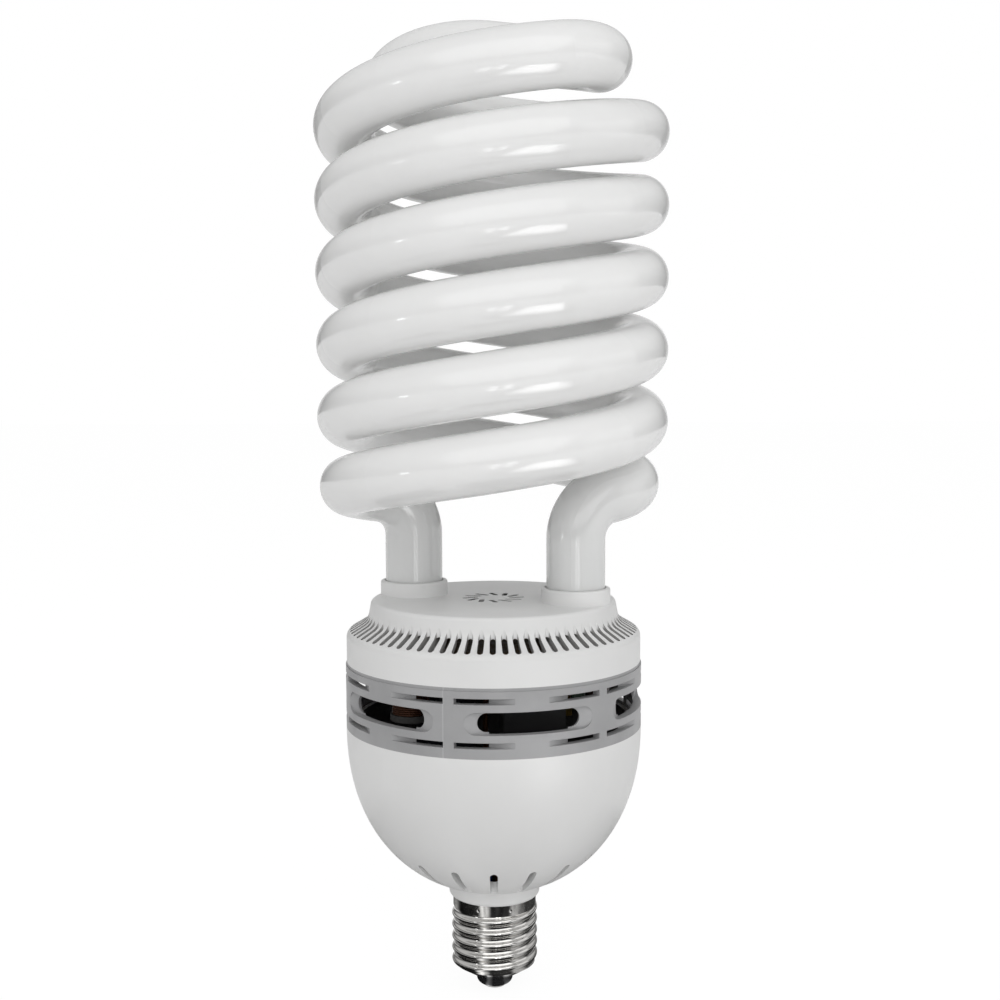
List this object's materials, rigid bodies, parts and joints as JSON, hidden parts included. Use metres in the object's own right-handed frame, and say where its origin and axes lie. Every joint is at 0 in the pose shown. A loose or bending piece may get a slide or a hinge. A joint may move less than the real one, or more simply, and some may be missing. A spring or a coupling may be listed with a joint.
{
  "type": "spiral energy saving lamp",
  "caption": "Large spiral compact fluorescent lamp with a white coiled tube, vented white housing, grey vent ring and screw cap.",
  "frame": {"origin": "middle of the end contact's flat face, at the very end of the screw cap", "axes": "+Z along the lamp's axis from the screw cap to the coil; -Y is the front in the picture, +X its right"},
  "size_m": [0.1046, 0.1046, 0.292],
  "materials": {
    "tube_glass": "white phosphor coated, gloss",
    "cement": "matt",
    "white_plastic": "satin moulded",
    "grey_plastic": "satin moulded",
    "nickel": "bright nickel plating",
    "black_insulator": "gloss",
    "board": "brown laminate",
    "tinned_wire": "tinned",
    "capacitor_sleeve": "shrink sleeve",
    "ferrite": "matt",
    "bobbin_plastic": "matt",
    "winding_tape": "yellow tape",
    "copper": "dark enamelled copper",
    "heat_sink": "black anodised",
    "chip_plastic": "moulded",
    "film_coating": "dipped",
    "fuse_ceramic": "matt",
    "thermistor_coating": "matt",
    "resistor_coating": "matt",
    "blue_wire": "insulated",
    "brown_wire": "insulated"
  },
  "bodies": {
    "root": {"discharge_tube": "tube_glass", "tube_cement": "cement", "top_cover": "white_plastic", "vent_ring": "grey_plastic", "lower_housing": "white_plastic", "screw_shell": "nickel", "cap_insulator": "black_insulator", "end_contact": "nickel", "circuit_board": "board", "lead_pins": "tinned_wire", "filament_leads": "tinned_wire", "smoothing_capacitor": "capacitor_sleeve", "choke_core": "ferrite", "choke_bobbin": "bobbin_plastic", "choke_winding": "winding_tape", "filter_core": "ferrite", "filter_winding": "copper", "drive_ring": "ferrite", "drive_winding": "copper", "front_heat_sink": "heat_sink", "rear_heat_sink": "heat_sink", "front_transistor": "chip_plastic", "rear_transistor": "chip_plastic", "resonant_capacitor": "film_coating", "coupling_capacitor": "film_coating", "rectifier_diodes": "chip_plastic", "line_fuse": "fuse_ceramic", "preheat_thermistor": "thermistor_coating", "resistors": "resistor_coating", "shell_wire": "blue_wire", "contact_wire": "brown_wire"}
  },
  "joints": []
}
